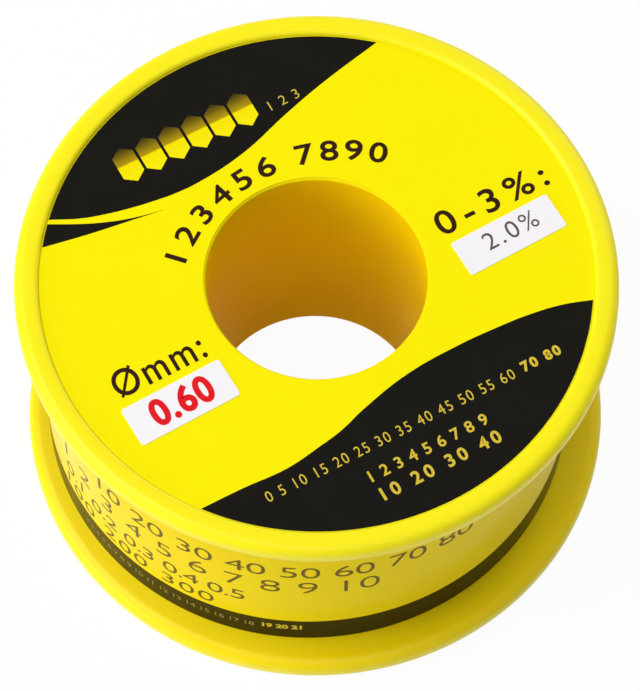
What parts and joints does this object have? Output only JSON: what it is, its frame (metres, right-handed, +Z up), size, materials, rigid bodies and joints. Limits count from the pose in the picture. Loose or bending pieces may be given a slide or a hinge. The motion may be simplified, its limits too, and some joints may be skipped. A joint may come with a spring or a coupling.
{
  "type": "solder wire spool",
  "caption": "Small moulded bobbin with two round flanges and a plain through bore, wound with fine solder wire, with a printed round label and a label round the wire.",
  "frame": {"origin": "on the bore's axis, in the plane of the lower resting ring", "axes": "+Z up the bore towards the labelled face; +X to the right of the printed face as it is usually seen, with the print turned 29.7 degrees about the bore"},
  "size_m": [0.0544, 0.0544, 0.0292],
  "materials": {
    "yellow_plastic": "moulded, half gloss",
    "solder": "bright drawn wire",
    "wrap_paper": "printed, varnished",
    "label_paper": "printed, varnished",
    "sticker_paper": "matt"
  },
  "bodies": {
    "root": {"lower_flange": "yellow_plastic", "upper_flange": "yellow_plastic", "hub": "yellow_plastic", "solder_core": "solder", "solder_outer_layer": "solder", "wrap_label": "wrap_paper", "face_label": "label_paper", "size_sticker": "sticker_paper", "flux_sticker": "sticker_paper"}
  },
  "joints": []
}
